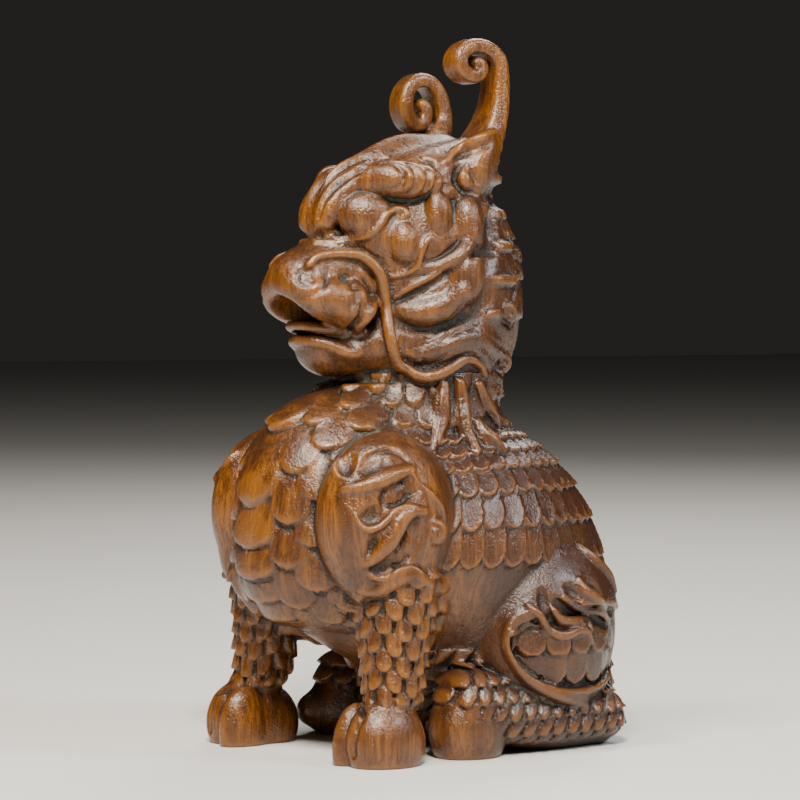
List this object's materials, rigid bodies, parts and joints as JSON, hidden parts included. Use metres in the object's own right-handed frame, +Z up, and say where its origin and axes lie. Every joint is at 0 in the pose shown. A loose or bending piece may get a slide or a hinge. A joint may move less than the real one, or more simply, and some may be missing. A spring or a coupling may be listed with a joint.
{
  "type": "qilin figure",
  "caption": "Seated scaled qilin with curled horns, a flowing whisker and cloven hooves, carved from one block of dark hardwood.",
  "frame": {"origin": "middle of the bounding box's underside, on the surface that the figure stands on", "axes": "+Z up from the floor to the horns, the figure faces -Y, and +X is its left side"},
  "size_m": [0.06, 0.0762, 0.125],
  "materials": {
    "wood": "oiled and rubbed to a gloss, darker in the cuts"
  },
  "bodies": {
    "root": {"qilin": "wood"}
  },
  "joints": []
}
